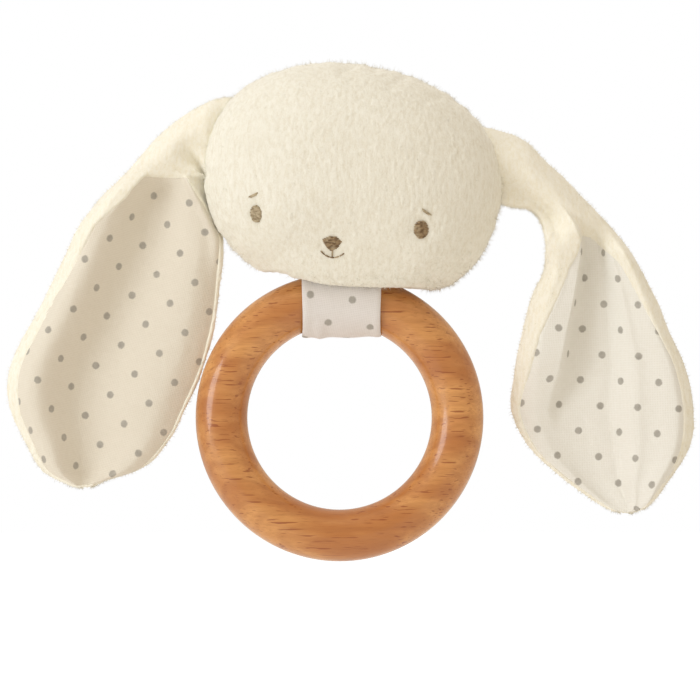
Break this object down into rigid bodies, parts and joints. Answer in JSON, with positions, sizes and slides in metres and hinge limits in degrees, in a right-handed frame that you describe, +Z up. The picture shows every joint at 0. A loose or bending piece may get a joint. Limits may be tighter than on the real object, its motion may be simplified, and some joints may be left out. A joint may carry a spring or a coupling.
{
  "type": "teething ring",
  "caption": "Wooden teething ring with a stuffed plush bunny head and long lined ears, held to the ring by a sewn cotton loop.",
  "frame": {"origin": "centre of the wooden ring", "axes": "+Z up from the ring to the head, +Y from the face towards the back, along the ring's own axis; +X to the right as seen from the front"},
  "size_m": [0.1673, 0.0352, 0.1212],
  "materials": {
    "beech": "varnished beech, satin gloss",
    "plush": "short-pile cream plush",
    "dotted_cotton": "plain-weave cotton with grey dots",
    "thread": "taupe embroidery thread, satin stitch",
    "fibrefill": "loose polyester filling",
    "capsule_plastic": "moulded, matt",
    "bead_steel": "satin"
  },
  "bodies": {
    "ring": {"wooden_ring": "beech"},
    "loop": {"ring_loop": "dotted_cotton"},
    "head": {"loop_sewn_ends": "dotted_cotton", "head_front_panel": "plush", "head_back_panel": "plush", "head_stuffing": "fibrefill", "rattle_shell_front": "capsule_plastic", "rattle_shell_back": "capsule_plastic", "left_eye": "thread", "right_eye": "thread", "left_brow": "thread", "right_brow": "thread", "nose": "thread", "mouth": "thread"},
    "beads": {"rattle_beads": "bead_steel"},
    "left_root": {"left_ear_root": "plush"},
    "left_ear": {"left_ear_plush": "plush", "left_ear_lining": "dotted_cotton"},
    "right_root": {"right_ear_root": "plush"},
    "right_ear": {"right_ear_plush": "plush", "right_ear_lining": "dotted_cotton"}
  },
  "joints": [
    {"name": "loop_slide", "type": "hinge", "parent": "ring", "child": "loop", "pos_m": [0, 0, 0], "axis": [0, 1, 0], "continuous": true},
    {"name": "head_nod", "type": "hinge", "parent": "loop", "child": "head", "pos_m": [0, 0, 0.0287], "axis": [1, 0, 0], "range_deg": [-50, 50]},
    {"name": "left_ear_lift", "type": "hinge", "parent": "head", "child": "left_root", "pos_m": [-0.031, 0, 0.0672], "axis": [0, 1, 0], "range_deg": [0, 60]},
    {"name": "left_ear_flop", "type": "hinge", "parent": "left_root", "child": "left_ear", "pos_m": [-0.043, 0.0005, 0.0585], "axis": [-1, 0, 0], "range_deg": [-40, 60]},
    {"name": "right_ear_lift", "type": "hinge", "parent": "head", "child": "right_root", "pos_m": [0.0376, 0, 0.061], "axis": [0, -1, 0], "range_deg": [-4, 60]},
    {"name": "right_ear_flop", "type": "hinge", "parent": "right_root", "child": "right_ear", "pos_m": [0.058, 0.0005, 0.0467], "axis": [-1, 0, 0], "range_deg": [-40, 60]},
    {"name": "rattle_shake", "type": "slide", "parent": "head", "child": "beads", "axis": [0, 0, 1], "range_m": [0, 0.009]}
  ]
}
